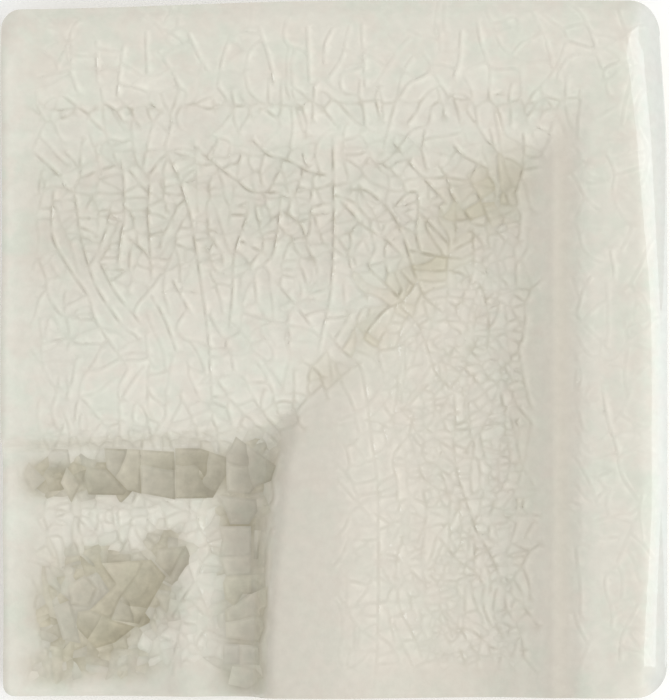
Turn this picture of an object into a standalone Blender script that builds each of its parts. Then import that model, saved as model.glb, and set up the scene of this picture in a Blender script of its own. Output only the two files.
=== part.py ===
"""Chair rail corner tile: one pressed and glazed ceramic piece, lying on its back with its face up.

The rail's moulding runs along the top edge, turns a mitred corner at the upper right and runs down
the right edge. Metres, +Z up, +Y towards the tile's top edge and +X towards its right edge. The
origin is the centre of the footprint, on the flat back.
"""

import math

import bmesh
import bpy
import numpy as np

MM = 0.001

# Driving dimensions of the blank
WIDTH = 63.5 * MM
HEIGHT = 66.5 * MM
TOP_EDGE_FALL = 0.85 * MM  # the hand-finished top edge drops this far towards the left corner
FALL_REACH = 0.55  # share of the width over which it drops
RIGHT_EDGE_FALL = 0.70 * MM  # the right edge is drawn in this far at the upper corner
RIGHT_FALL_REACH = 0.22  # share of the height over which it is drawn in
RADIUS_TOP_LEFT = 1.9 * MM
RADIUS_TOP_RIGHT = 3.0 * MM
RADIUS_LOWER_RIGHT = 3.0 * MM
RADIUS_LOWER_LEFT = 1.1 * MM
TOP_ROUNDING = 2.0 * MM  # of the face into the top side
SIDE_ROUNDING = 2.1 * MM  # into the right side, halfway down
UPPER_SIDE_ROUNDING = 5.5 * MM  # into the right side by the upper corner, where it widens
LOWER_SIDE_ROUNDING = 3.4 * MM  # into the right side by the lower corner
END_ROUNDING = 0.8 * MM  # of the face into the two cut ends
ROUNDING_CUT = 0.1  # share of each rounding's run that the upright side cuts off
ROUNDING_BLEND = 6.0 * MM  # run over which one rounding passes into the other at a corner
FOOT_CHAMFER = 0.5 * MM  # round the flat back

# Lines of the moulding: each one's distance from the outer edge, as a share of the tile's height,
# its height above the back in millimetres, and how many strips lie between it and the next line
RAIL_LINES = (
    (0.000, 14.60, 4),  # outer edge, before it is rounded
    (0.060, 15.00, 3),  # crown of the outer band
    (0.125, 14.90, 2),  # inner edge of the band
    (0.140, 14.70, 2),  # upper flank of the quirk
    (0.162, 14.30, 1),  # floor of the quirk
    (0.170, 14.30, 2),  # foot of the small bead
    (0.184, 14.45, 2),  # top of the small bead
    (0.200, 14.20, 2),  # where the cove starts
    (0.232, 13.40, 3),  # upper flank of the cove
    (0.290, 12.70, 5),  # bottom of the cove
    (0.390, 13.75, 5),  # rise to the swelling
    (0.500, 15.50, 3),  # crest of the swelling
    (0.573, 15.15, 2),  # lip
    (0.592, 14.60, 4),  # under the lip
    (0.645, 11.80, 2),  # edge of the groove
    (0.672, 11.30, 2),  # floor of the groove
    (0.700, 11.50, 3),  # foot of the inner bead
    (0.738, 12.10, 3),  # top of the inner bead
    (0.778, 11.40, 3),  # inner foot of the bead
    (0.860, 10.50, 4),  # bottom of the inner hollow
    (1.000, 11.30, 0),  # inner edge
)
LIP = 0.573
LIP_FLARE = 0.040  # how far the lip spreads from the mitre to each cut end, as a share of the height
FLARE_FROM = 0.40
FLARE_TO = 0.660
SIDE_SQUEEZE = 0.095  # the right arm's lines lie a little nearer to the outer edge

EDGE_STEPS = 6  # strips across a rounded edge
EDGE_STRIPS = 2.6 * MM  # run that they cover on the outer sides
END_STRIPS = 1.0 * MM  # run that they cover at the cut ends
CLEAR_OF_EDGE = 0.4  # how near a moulding line may come to a rounded edge's lines, in its strips
SHARP_ANGLE = math.radians(35)  # between faces, from which an edge is drawn sharp

GLAZE_COLOUR = (0.72, 0.70, 0.62, 1.0)
GLAZE_ROUGHNESS = 0.15


def smooth_curve(knots, at):
    """Cubic through the knots that never overshoots them: the slope at a knot is the harmonic mean of
    the slopes on its two sides, and zero where they differ in sign."""
    x, y = (np.array(column, float) for column in zip(*knots))
    step = np.diff(x)
    rise = np.diff(y) / step
    same_way = rise[:-1] * rise[1:] > 0
    inner = np.zeros(len(rise) - 1)
    inner[same_way] = 2 / (1 / rise[:-1][same_way] + 1 / rise[1:][same_way])
    slope = np.concatenate([rise[:1], inner, rise[-1:]])
    k = np.clip(np.searchsorted(x, at, side="right") - 1, 0, len(step) - 1)
    t = (at - x[k]) / step[k]
    return (
        y[k] * (1 + 2 * t) * (1 - t) ** 2
        + y[k + 1] * t**2 * (3 - 2 * t)
        + step[k] * t * (1 - t) * (slope[k] * (1 - t) - slope[k + 1] * t)
    )


def rail_height(line):
    """Height above the back of a line of the moulding."""
    return smooth_curve([(share, height) for share, height, _ in RAIL_LINES], line) * MM


def smoothstep(t):
    t = np.clip(t, 0, 1)
    return t * t * (3 - 2 * t)


def flare(line, along):
    """How far a line spreads from its place, from 0 at the mitre to its most at the cut end."""
    near_lip = smoothstep((line - FLARE_FROM) / (LIP - FLARE_FROM)) * smoothstep(
        (FLARE_TO - line) / (FLARE_TO - LIP)
    )
    return LIP_FLARE * near_lip * np.sin(along * math.pi / 2)


def edge_lines(first, last):
    """Lines across a rounded edge, at even angles round it, from the outline inwards."""
    turn = np.linspace(0, math.pi / 2, EDGE_STEPS + 1)
    return first + (last - first) * (1 - np.cos(turn))


def grid_lines():
    """The lines that the face is built on: those of the moulding, with more across the rounded edges."""
    outer = edge_lines(0, EDGE_STRIPS / HEIGHT)
    inner = edge_lines(1, 1 - END_STRIPS / HEIGHT)
    between = [
        np.linspace(this[0], following[0], this[2], endpoint=False)
        for this, following in zip(RAIL_LINES, RAIL_LINES[1:])
    ]
    between = np.concatenate(between)
    clear = CLEAR_OF_EDGE * EDGE_STRIPS / HEIGHT / EDGE_STEPS
    kept = between[(between > outer.max() + clear) & (between < inner.min() - clear)]
    return np.sort(np.concatenate([outer, kept, inner]))


def share_along(line, across):
    """How far a point lies from the mitre to the cut end: 0 on the mitre and 1 at the end."""
    return np.clip((across - line) / np.maximum(1 - line, 1e-9), 0, 1)


def edge_drop(distance, radius):
    """How far a rounded edge has fallen at this distance from the outline."""
    inside = np.clip(radius * (1 - ROUNDING_CUT) - distance, 0, radius)
    return radius - np.sqrt(radius**2 - inside**2)


def rounding_at(right_gap, top_gap):
    """Radius of the nearest edge's rounding. Beside a corner it passes from one side's to the other's."""
    down = top_gap / HEIGHT
    upper, lower = smoothstep((0.5 - down) / 0.45), smoothstep((down - 0.7) / 0.28)
    side = SIDE_ROUNDING + (UPPER_SIDE_ROUNDING - SIDE_ROUNDING) * upper
    side = side + (LOWER_SIDE_ROUNDING - SIDE_ROUNDING) * lower
    side_share = smoothstep((top_gap - right_gap) / ROUNDING_BLEND + 0.5)
    outer = TOP_ROUNDING + (side - TOP_ROUNDING) * side_share
    to_outer = np.minimum(right_gap, top_gap)
    to_end = np.minimum(WIDTH - right_gap, HEIGHT - top_gap)
    outer_share = 1 - smoothstep((to_outer - to_end) / ROUNDING_BLEND)
    return END_ROUNDING + (outer - END_ROUNDING) * outer_share, np.minimum(to_outer, to_end)


def round_corner(x, y, corner_x, corner_y, radius):
    """Moves the points of one square corner onto a quarter disc, so that its outline is an arc."""
    a = radius - np.abs(x - corner_x)
    b = radius - np.abs(y - corner_y)
    in_corner = (a > 0) & (b > 0)
    length = np.hypot(a, b)
    pull = np.where(in_corner, np.maximum(a, b) / np.where(in_corner, length, 1), 1)
    towards_x, towards_y = np.sign(corner_x), np.sign(corner_y)
    new_x = corner_x - towards_x * (radius - a * pull)
    new_y = corner_y - towards_y * (radius - b * pull)
    return np.where(in_corner, new_x, x), np.where(in_corner, new_y, y)


def face_points():
    """The face's points, one for each pair of lines: the first index counts lines in from the right
    edge, the second lines down from the top edge."""
    lines = grid_lines()
    from_right, from_top = np.meshgrid(lines, lines, indexing="ij")
    line = np.minimum(from_right, from_top)
    on_top_arm = from_top < from_right

    spread = flare(line, share_along(line, np.maximum(from_right, from_top)))
    squeezed = from_right - SIDE_SQUEEZE * from_right * (1 - from_right)
    right_gap = WIDTH * (squeezed + np.where(on_top_arm, 0, spread))
    top_gap = HEIGHT * (from_top + np.where(on_top_arm, spread, 0))

    rounding, to_edge = rounding_at(right_gap, top_gap)
    z = rail_height(line) - edge_drop(to_edge, rounding)

    x = WIDTH / 2 - right_gap
    y = HEIGHT / 2 - top_gap
    for corner_x, corner_y, radius in (
        (-WIDTH / 2, HEIGHT / 2, RADIUS_TOP_LEFT),
        (WIDTH / 2, HEIGHT / 2, RADIUS_TOP_RIGHT),
        (WIDTH / 2, -HEIGHT / 2, RADIUS_LOWER_RIGHT),
        (-WIDTH / 2, -HEIGHT / 2, RADIUS_LOWER_LEFT),
    ):
        x, y = round_corner(x, y, corner_x, corner_y, radius)
    fall = smoothstep((right_gap / WIDTH - (1 - FALL_REACH)) / FALL_REACH)
    y = y - TOP_EDGE_FALL * fall * (y / HEIGHT + 0.5)
    drawn = smoothstep(1 - top_gap / HEIGHT / RIGHT_FALL_REACH)
    x = x - RIGHT_EDGE_FALL * drawn * (x / WIDTH + 0.5)
    return np.stack([x, y, z], axis=-1)


def build_face(shape):
    """Lays a flat grid, from -1 to 1 each way, and moves its points to the moulded face."""
    points = face_points()
    cells = len(points) - 1
    bmesh.ops.create_grid(shape, x_segments=cells, y_segments=cells, size=1.0)
    for vertex in shape.verts:
        column = round((1 - vertex.co.x) / 2 * cells)
        row = round((1 - vertex.co.y) / 2 * cells)
        vertex.co = points[column, row]


def lower_rim(shape, rim, height, inset):
    """Extrudes the rim of open edges to a new height, drawn in by the inset, and returns the new rim."""
    made = bmesh.ops.extrude_edge_only(shape, edges=rim)["geom"]
    for vertex in (item for item in made if isinstance(item, bmesh.types.BMVert)):
        vertex.co.x *= 1 - 2 * inset / WIDTH
        vertex.co.y *= 1 - 2 * inset / HEIGHT
        vertex.co.z = height
    return [item for item in made if isinstance(item, bmesh.types.BMEdge) and item.is_boundary]


def build_tile():
    """The whole tile: the moulded face, the upright sides, the chamfer and the flat back."""
    shape = bmesh.new()
    build_face(shape)
    rim = [edge for edge in shape.edges if edge.is_boundary]
    rim = lower_rim(shape, rim, FOOT_CHAMFER, 0)
    rim = lower_rim(shape, rim, 0, FOOT_CHAMFER)
    bmesh.ops.contextual_create(shape, geom=rim)
    bmesh.ops.recalc_face_normals(shape, faces=shape.faces)
    mesh = bpy.data.meshes.new("corner_tile")
    shape.to_mesh(mesh)
    shape.free()
    mesh.shade_smooth()
    mesh.set_sharp_from_angle(angle=SHARP_ANGLE)
    return bpy.data.objects.new("corner_tile", mesh)


def glaze():
    material = bpy.data.materials.new("crackle_glaze")
    material.use_nodes = True
    surface = material.node_tree.nodes["Principled BSDF"]
    surface.inputs["Base Color"].default_value = GLAZE_COLOUR
    surface.inputs["Roughness"].default_value = GLAZE_ROUGHNESS
    surface.inputs["Metallic"].default_value = 0.0
    material.diffuse_color = GLAZE_COLOUR
    return material


def main():
    for old in list(bpy.data.objects):
        bpy.data.objects.remove(old)
    collection = bpy.data.collections.new("chair_rail_corner_tile")
    bpy.context.scene.collection.children.link(collection)
    tile = build_tile()
    tile.data.materials.append(glaze())
    collection.objects.link(tile)


main()
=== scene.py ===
# %% [markdown]
# # A chair rail corner tile in crackle glaze
#
# The tile is one piece of pressed clay under a thick, glossy glaze that has cracked all over. It is
# all relief and glaze: a moulding that turns a mitred corner, a net of fine raised cracks, and
# olive shards where the glaze has pooled in the hollows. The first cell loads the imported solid,
# whose box gives the tile's size.

# %% The frame
import math

import bmesh
import bpy
import numpy as np
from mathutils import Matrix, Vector
from mathutils.geometry import delaunay_2d_cdt


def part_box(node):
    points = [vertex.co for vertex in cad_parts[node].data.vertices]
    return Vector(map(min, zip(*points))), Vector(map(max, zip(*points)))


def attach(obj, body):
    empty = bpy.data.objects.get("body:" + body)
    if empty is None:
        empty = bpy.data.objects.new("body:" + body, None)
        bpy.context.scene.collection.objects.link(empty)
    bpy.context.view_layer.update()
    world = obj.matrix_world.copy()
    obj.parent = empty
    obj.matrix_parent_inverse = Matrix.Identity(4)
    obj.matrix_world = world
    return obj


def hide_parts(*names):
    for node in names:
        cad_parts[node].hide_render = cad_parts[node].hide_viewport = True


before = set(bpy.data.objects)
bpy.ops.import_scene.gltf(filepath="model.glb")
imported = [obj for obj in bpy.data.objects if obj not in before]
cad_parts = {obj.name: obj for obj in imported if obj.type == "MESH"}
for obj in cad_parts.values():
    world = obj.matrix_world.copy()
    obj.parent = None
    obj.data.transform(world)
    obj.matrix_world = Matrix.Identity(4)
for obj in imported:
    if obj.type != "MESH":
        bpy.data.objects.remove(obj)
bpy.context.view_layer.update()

MM = 0.001
low, high = (np.array(corner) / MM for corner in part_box("corner_tile"))
WIDTH, HEIGHT, THICKNESS = high - low
print(f"tile {WIDTH:.1f} x {HEIGHT:.1f} x {THICKNESS:.1f} mm")

# %% [markdown]
# ## The moulding
#
# The form could be read from the solid's mesh, but a formula gives its height and slope anywhere,
# and finer. So the rail's section is repeated here: its lines, each with its distance from the
# outer edge as a share of the tile's height, and its height above the back in millimetres. Plan
# coordinates are millimetres from the left edge and down from the top edge, as a photograph is
# read.

# %% The section of the rail
TOP_ROUNDING = 2.0
SIDE_ROUNDING, UPPER_SIDE_ROUNDING, LOWER_SIDE_ROUNDING = 2.1, 5.5, 3.4
UPPER_FADE, UPPER_FADE_RUN = 0.5, 0.45
LOWER_FADE, LOWER_FADE_RUN = 0.7, 0.28
END_ROUNDING = 0.8
ROUNDING_CUT = 0.1
ROUNDING_BLEND = 6.0
# Side of each corner, to the right and up, and its radius
CORNERS = ((-1, 1, 1.9), (1, 1, 3.0), (1, -1, 3.0), (-1, -1, 1.1))
TOP_EDGE_FALL, FALL_REACH = 0.85, 0.55
RIGHT_EDGE_FALL, RIGHT_FALL_REACH = 0.70, 0.22
RAIL_SECTION = (
    (0.000, 14.60), (0.060, 15.00), (0.125, 14.90), (0.140, 14.70), (0.162, 14.30),
    (0.170, 14.30), (0.184, 14.45), (0.200, 14.20), (0.232, 13.40), (0.290, 12.70),
    (0.390, 13.75), (0.500, 15.50), (0.573, 15.15), (0.592, 14.60), (0.645, 11.80),
    (0.672, 11.30), (0.700, 11.50), (0.738, 12.10), (0.778, 11.40), (0.860, 10.50),
    (1.000, 11.30),
)
LIP, LIP_FLARE = 0.573, 0.040
FLARE_FROM, FLARE_TO = 0.40, 0.660
SIDE_SQUEEZE = 0.095
SETTLING_ROUNDS = 24


def smooth_curve(knots, at):
    """Cubic through the knots that never overshoots: a knot's slope is the harmonic mean of the
    slopes beside it, and zero where they differ in sign."""
    x, y = (np.array(column, float) for column in zip(*knots))
    step = np.diff(x)
    rise = np.diff(y) / step
    same_way = rise[:-1] * rise[1:] > 0
    inner = np.zeros(len(rise) - 1)
    inner[same_way] = 2 / (1 / rise[:-1][same_way] + 1 / rise[1:][same_way])
    slope = np.concatenate([rise[:1], inner, rise[-1:]])
    k = np.clip(np.searchsorted(x, at, side="right") - 1, 0, len(step) - 1)
    t = np.clip((at - x[k]) / step[k], 0, 1)
    return (
        y[k] * (1 + 2 * t) * (1 - t) ** 2
        + y[k + 1] * t**2 * (3 - 2 * t)
        + step[k] * t * (1 - t) * (slope[k] * (1 - t) - slope[k + 1] * t)
    )


def smoothstep(t):
    """3t² - 2t³ between 0 and 1."""
    t = np.clip(t, 0, 1)
    return t * t * (3 - 2 * t)


def blend(one, other, share):
    """From one value to the other, by the other's share."""
    return one + (other - one) * share


def lip_spread(line, along):
    """How far a line spreads from its place: a bump round the lip, times the sine of its way from
    the mitre to the cut end."""
    bump = smoothstep((line - FLARE_FROM) / (LIP - FLARE_FROM))
    bump = bump * smoothstep((FLARE_TO - line) / (FLARE_TO - LIP))
    return LIP_FLARE * bump * np.sin(along * math.pi / 2)


def unsqueezed(share):
    """Line p at a share s of the way in from the right side: the root of s = p - k p (1 - p)."""
    k = SIDE_SQUEEZE
    return (k - 1 + np.sqrt((1 - k) ** 2 + 4 * k * share)) / (2 * k)


def from_mitre(x, y):
    """Millimetres from the mitre, where the two arms' lines meet: above zero on the top arm."""
    return (unsqueezed(np.clip(1 - x / WIDTH, 0, 1)) - y / HEIGHT) * WIDTH / math.sqrt(2)


def moulding_line(x, y):
    """The line of the moulding under a point of the plan. The spread of the lip is undone by
    putting the last guess back into its own formula until it settles."""
    share_right = np.clip(1 - x / WIDTH, 0, 1)
    from_right = unsqueezed(share_right)
    from_top = np.clip(y / HEIGHT, 0, 1)
    on_top = from_top < from_right
    near = np.where(on_top, from_top, share_right)
    far = np.where(on_top, from_right, from_top)
    line = np.where(on_top, from_top, from_right)
    for _ in range(SETTLING_ROUNDS):
        along = np.clip((far - line) / np.maximum(1 - line, 1e-9), 0, 1)
        side = np.clip(near - lip_spread(line, along), 0, 1)
        line = np.where(on_top, side, unsqueezed(side))
    return line


line = moulding_line(np.array([10.0, 50.0]), np.array([38.0, 60.0]))
print("lines of the moulding at a point of each arm:", np.round(line, 3))

# %% [markdown]
# ## A sheet that wraps the rounded edges
#
# At the outer sides the face rolls over into the wall. A net drawn in plan would be stretched
# there, so the face is worked out on an unrolled sheet: on the flat it is the plan, and within a
# rounding's radius R its distance s from the rim is measured round the arc, which in plan is
# R (1 - cos(s / R)). The four corners are then drawn in to quarter discs.

# %% From the sheet to the tile
ROLL = math.pi / 2 - 1
OUTER_ROLL, END_ROLL = 2.2, 0.8
SHEET_WIDTH = WIDTH + ROLL * (OUTER_ROLL + END_ROLL)
SHEET_HEIGHT = HEIGHT + ROLL * (OUTER_ROLL + END_ROLL)
SHEET_SIZE = np.array([SHEET_WIDTH, SHEET_HEIGHT])


def rolled(arc, radius):
    """Distance in plan of a point that lies this far from the rim round the arc."""
    return np.where(arc < radius * math.pi / 2,
                    radius * (1 - np.cos(np.clip(arc / radius, 0, math.pi / 2))),
                    arc - ROLL * radius)


def unrolled(distance, radius):
    """Distance round the arc of a point that lies this far from the rim in plan."""
    return np.where(distance < radius,
                    radius * np.arccos(np.clip(1 - distance / radius, 0, 1)),
                    distance + ROLL * radius)


def sheet_to_plan(u, v):
    """Plan place of a point of the sheet, each side by its own rounding."""
    x = np.where(u < SHEET_WIDTH / 2, rolled(u, END_ROLL),
                 WIDTH - rolled(SHEET_WIDTH - u, OUTER_ROLL))
    y = np.where(v < SHEET_HEIGHT / 2, rolled(v, OUTER_ROLL),
                 HEIGHT - rolled(SHEET_HEIGHT - v, END_ROLL))
    return x, y


def plan_to_sheet(x, y):
    """The same the other way."""
    u = np.where(x < WIDTH / 2, unrolled(x, END_ROLL),
                 SHEET_WIDTH - unrolled(WIDTH - x, OUTER_ROLL))
    v = np.where(y < HEIGHT / 2, unrolled(y, OUTER_ROLL),
                 SHEET_HEIGHT - unrolled(HEIGHT - y, END_ROLL))
    return u, v


def edge_drop(distance, radius):
    """How far a rounded edge has fallen: R - sqrt(R² - i²), where i = R (1 - cut) - distance."""
    inside = np.clip(radius * (1 - ROUNDING_CUT) - distance, 0, radius)
    return radius - np.sqrt(radius**2 - inside**2)


def side_rounding(y):
    """Radius of the right side's rounding: widest by its upper corner, and wide again by the
    lower one."""
    down = y / HEIGHT
    upper = smoothstep((UPPER_FADE - down) / UPPER_FADE_RUN)
    lower = smoothstep((down - LOWER_FADE) / LOWER_FADE_RUN)
    side = blend(SIDE_ROUNDING, UPPER_SIDE_ROUNDING, upper)
    return side + (LOWER_SIDE_ROUNDING - SIDE_ROUNDING) * lower


def rounding_at(x, y):
    """Radius of the nearest edge's rounding, and the distance to that edge. Beside a corner one
    side's radius passes into the other's."""
    right_gap = WIDTH - x
    on_side = smoothstep((y - right_gap) / ROUNDING_BLEND + 0.5)
    outer = blend(TOP_ROUNDING, side_rounding(y), on_side)
    to_outer = np.minimum(right_gap, y)
    to_end = np.minimum(x, HEIGHT - y)
    outer_share = 1 - smoothstep((to_outer - to_end) / ROUNDING_BLEND)
    return blend(END_ROUNDING, outer, outer_share), np.minimum(to_outer, to_end)


def round_corner(x, y, corner_x, corner_y, radius):
    """Draws the points of one square corner in to a quarter disc: each square ring round the
    disc's centre becomes an arc."""
    a = radius - np.abs(x - corner_x)
    b = radius - np.abs(y - corner_y)
    in_corner = (a > 0) & (b > 0)
    length = np.where(in_corner, np.hypot(a, b), 1)
    pull = np.where(in_corner, np.maximum(a, b) / length, 1)
    new_x = corner_x - np.sign(corner_x) * (radius - a * pull)
    new_y = corner_y - np.sign(corner_y) * (radius - b * pull)
    return np.where(in_corner, new_x, x), np.where(in_corner, new_y, y)


def tile_point(u, v):
    """Place on the tile, in millimetres, of a point of the sheet: the section's height less the
    rounding's drop, then the corners, then the two edges that fall in a little by hand."""
    plan_x, plan_y = sheet_to_plan(u, v)
    line = moulding_line(plan_x, plan_y)
    rounding, to_edge = rounding_at(plan_x, plan_y)
    z = smooth_curve(RAIL_SECTION, line) - edge_drop(to_edge, rounding)
    x = plan_x - WIDTH / 2
    y = HEIGHT / 2 - plan_y
    for side_x, side_y, radius in CORNERS:
        x, y = round_corner(x, y, side_x * WIDTH / 2, side_y * HEIGHT / 2, radius)
    fall = smoothstep(((WIDTH - plan_x) / WIDTH - (1 - FALL_REACH)) / FALL_REACH)
    y = y - TOP_EDGE_FALL * fall * (y / HEIGHT + 0.5)
    drawn = smoothstep(1 - plan_y / HEIGHT / RIGHT_FALL_REACH)
    x = x - RIGHT_EDGE_FALL * drawn * (x / WIDTH + 0.5)
    return np.stack([x, y, z], axis=-1)


def outward(u, v, reach=0.05):
    """Unit normal of the plain form: the cross product of its two slopes, by small differences."""

    def slope(across, down):
        ahead = tile_point(np.minimum(u + across, SHEET_WIDTH), np.minimum(v + down, SHEET_HEIGHT))
        return ahead - tile_point(np.maximum(u - across, 0), np.maximum(v - down, 0))

    normal = np.cross(slope(0, reach), slope(reach, 0))
    return normal / np.maximum(np.linalg.norm(normal, axis=-1, keepdims=True), 1e-12)


print(f"unrolled sheet {SHEET_WIDTH:.1f} x {SHEET_HEIGHT:.1f} mm")

# %% [markdown]
# ## The long cracks
#
# Glaze shrinks more than clay as it cools, so it is pulled apart into a net of cracks. The long
# ones come first. They are drawn along the photograph's, because they are what the eye knows the
# tile by; the outlines of the pools' shards are drawn the same way, and the pools are given as
# soft spots. All of it is in the photograph's pixels, x and y in turn.

# %% Routes in the photograph's pixels
PIXEL = 0.0955
PHOTO_LEFT, PHOTO_TOP = 2, 1
LONG_CRACKS = (
    (165, 145, 179, 176, 190, 212, 196, 246, 203, 290, 209, 335, 213, 400),
    (333, 138, 334, 223, 331, 290, 324, 325, 318, 352),
    (54, 185, 52, 208, 54, 235, 74, 270, 89, 292, 98, 319, 130, 365),
    (74, 185, 78, 210, 81, 232, 94, 275, 107, 299, 125, 324),
    (121, 156, 124, 179, 124, 214, 121, 234, 118, 263),
    (150, 179, 148, 208, 150, 241, 152, 275),
    (129, 234, 145, 248, 152, 259),
    (100, 257, 116, 288, 134, 310, 143, 322),
    (152, 292, 165, 315, 178, 350),
    (172, 275, 181, 292, 192, 312),
    (208, 214, 209, 232, 221, 250, 223, 263),
    (248, 201, 247, 214, 239, 237, 234, 259, 233, 290, 230, 325),
    (194, 143, 214, 161, 237, 179, 252, 190, 281, 192),
    (252, 138, 268, 154, 290, 161, 310, 172, 332, 176),
    (281, 192, 279, 219, 275, 246, 271, 257),
    (283, 210, 301, 225, 308, 248, 317, 266),
    (241, 239, 268, 254),
    (277, 281, 297, 306, 312, 326),
    (33, 145, 47, 158, 62, 172),
    (393, 143, 409, 163, 436, 192, 445, 201),
    (438, 165, 447, 179, 452, 196, 465, 212, 472, 223),
    (452, 145, 463, 156, 476, 163, 490, 170),
    (467, 176, 481, 201, 490, 223, 507, 243),
    (523, 132, 524, 152, 522, 170, 514, 196),
    (380, 201, 394, 217, 403, 237, 408, 252, 413, 270, 418, 281),
    (349, 190, 366, 191, 380, 201),
    (418, 192, 418, 214, 416, 232, 420, 252),
    (394, 208, 407, 194, 418, 192),
    (340, 201, 353, 214, 362, 225, 387, 241, 403, 257),
    (376, 248, 369, 266, 385, 283, 400, 299),
    (409, 250, 427, 254, 445, 257, 463, 259),
    (418, 281, 403, 301, 385, 310, 371, 326, 362, 341),
    (418, 281, 425, 297, 443, 312),
    (400, 306, 418, 324, 427, 346, 436, 372, 454, 392),
    (478, 281, 485, 297, 489, 324, 487, 350),
    (328, 332, 342, 350, 360, 366, 366, 390, 373, 444, 378, 484, 379, 551, 378, 640, 375, 690),
    (454, 392, 456, 417, 454, 444, 458, 475, 467, 502, 478, 533, 492, 558, 505, 593),
    (414, 412, 409, 435, 394, 457, 398, 484, 397, 502),
    (425, 439, 420, 470, 432, 486),
    (423, 488, 427, 515, 418, 542),
    (438, 535, 458, 560, 474, 571, 485, 587),
    (398, 587, 400, 607, 412, 631, 423, 658),
    (601, 383, 606, 417, 615, 446, 621, 475, 637, 500),
    (637, 74, 627, 100, 621, 125),
    (619, 662, 621, 636, 637, 602),
    (98, 33, 99, 78),
    (126, 38, 122, 62, 118, 96),
    (148, 25, 149, 72),
    (190, 29, 200, 52, 210, 70),
    (232, 36, 224, 60, 219, 85),
    (261, 25, 271, 58, 276, 87),
    (310, 25, 311, 85),
    (337, 27, 328, 45, 326, 66),
    (365, 24, 367, 90),
    (465, 30, 462, 60, 455, 80),
)
# Depth, then x and y of each corner in turn
POOL_SHARDS = (
    (0.45, (28, 460, 45, 477, 32, 489, 23, 471)),
    (0.55, (66, 465, 80, 482, 71, 500, 60, 480)),
    (0.78, (86, 465, 106, 468, 126, 489, 123, 493, 88, 492, 83, 477)),
    (0.60, (104, 448, 140, 449, 141, 492, 127, 488, 106, 466)),
    (0.66, (140, 449, 174, 451, 175, 498, 140, 491)),
    (0.78, (175, 448, 200, 448, 226, 457, 226, 474, 213, 497, 175, 497)),
    (0.55, (236, 437, 275, 465, 270, 480, 255, 486, 249, 494, 227, 491, 226, 474, 226, 456)),
    (0.55, (218, 495, 255, 499, 256, 511, 248, 524, 230, 524, 226, 512)),
    (0.42, (219, 526, 250, 526, 250, 575, 226, 576, 219, 557, 222, 539)),
    (0.50, (253, 530, 259, 530, 256, 559, 252, 559)),
    (0.50, (226, 576, 250, 575, 250, 592, 234, 606, 225, 599, 223, 583)),
    (0.42, (250, 594, 266, 585, 266, 606, 259, 610, 264, 626, 258, 642, 226, 638, 225, 610, 236, 604,
            242, 594)),
    (0.36, (239, 645, 258, 646, 258, 665, 239, 665)),
    (0.30, (223, 644, 239, 645, 239, 665, 223, 665)),
    (0.34, (232, 667, 254, 669, 262, 677, 246, 689, 228, 685)),
    (0.66, (101, 563, 143, 560, 137, 574, 118, 600, 110, 620, 89, 610, 116, 584)),
    (0.78, (143, 560, 150, 559, 165, 576, 138, 624, 110, 620, 118, 600, 137, 574)),
    (0.80, (77, 612, 89, 610, 110, 620, 134, 627, 114, 643, 95, 649, 75, 627)),
    (0.66, (157, 549, 185, 545, 169, 576, 154, 561)),
    (0.55, (68, 584, 84, 575, 96, 588, 88, 606, 70, 604)),
    (0.55, (52, 607, 68, 600, 75, 622, 80, 644, 62, 640)),
)

# Middle x and y, half width, half height, depth
POOLS = (
    (196, 471, 44, 25, 0.62), (252, 466, 28, 27, 0.42), (136, 471, 44, 23, 0.58),
    (85, 478, 36, 20, 0.60), (42, 477, 26, 18, 0.55), (240, 510, 26, 26, 0.42),
    (240, 555, 24, 44, 0.42), (244, 615, 25, 38, 0.42), (243, 670, 24, 24, 0.34),
    (128, 594, 52, 42, 0.62), (86, 634, 44, 28, 0.60), (166, 548, 24, 22, 0.50),
    (58, 605, 30, 36, 0.40), (56, 668, 36, 20, 0.42), (120, 664, 44, 20, 0.34), (92, 560, 40, 20, 0.40),
    (280, 436, 24, 24, 0.08),
)


def from_photo(route):
    """Sheet coordinates of photograph pixels."""
    x, y = np.reshape(route, (-1, 2)).T
    return np.stack(plan_to_sheet((x - PHOTO_LEFT) * PIXEL, (y - PHOTO_TOP) * PIXEL), axis=-1)


def to_photo(x, y):
    """Photograph pixels of a place of the plan."""
    return x / PIXEL + PHOTO_LEFT, y / PIXEL + PHOTO_TOP


print(len(LONG_CRACKS), "long cracks and", len(POOL_SHARDS), "shard outlines")

# %% [markdown]
# ## How far apart the finer cracks lie
#
# A thin, tight glaze on a convex edge hardly cracks, and one in a cove breaks into cells of about
# a millimetre. So the spacing follows the line of the moulding, by one curve for each arm, with a
# tighter band along the mitre. A pool cracks finely round its edge, the shards drawn in it stay
# nearly whole, and towards the two cut ends the cracks spread out until there are none.

# %% Spacing of the crackle
NO_CRACKS = 12.0
TOP_ARM_SPACING = (
    (0.00, 4.0), (0.03, 3.2), (0.07, 2.5), (0.12, 2.6), (0.148, 0.95), (0.17, 2.6), (0.20, 1.9),
    (0.24, 1.35), (0.29, 1.15), (0.37, 1.25), (0.43, 1.7), (0.51, 2.0), (0.58, 1.5), (0.61, 0.85),
    (0.64, 1.2), (0.67, 1.8), (0.705, 1.0), (0.74, 1.0), (0.79, 1.15), (0.86, 1.2), (1.00, 1.3),
)
RIGHT_ARM_SPACING = (
    (0.00, 6.0), (0.045, 2.9), (0.09, 2.5), (0.12, 3.4), (0.145, 1.6), (0.16, 5.0), (0.20, 8.0),
    (0.23, 1.5), (0.26, 0.88), (0.40, 0.85), (0.44, 1.3), (0.49, 2.4), (0.53, 9.0), (0.585, 6.0),
    (0.61, 1.3), (0.66, 1.4), (0.70, 1.1), (0.75, 1.2), (0.80, 1.2), (0.86, 1.2), (1.00, 1.3),
)
LEFT_MARGIN, LOWER_MARGIN = 1.3, 1.0
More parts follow.
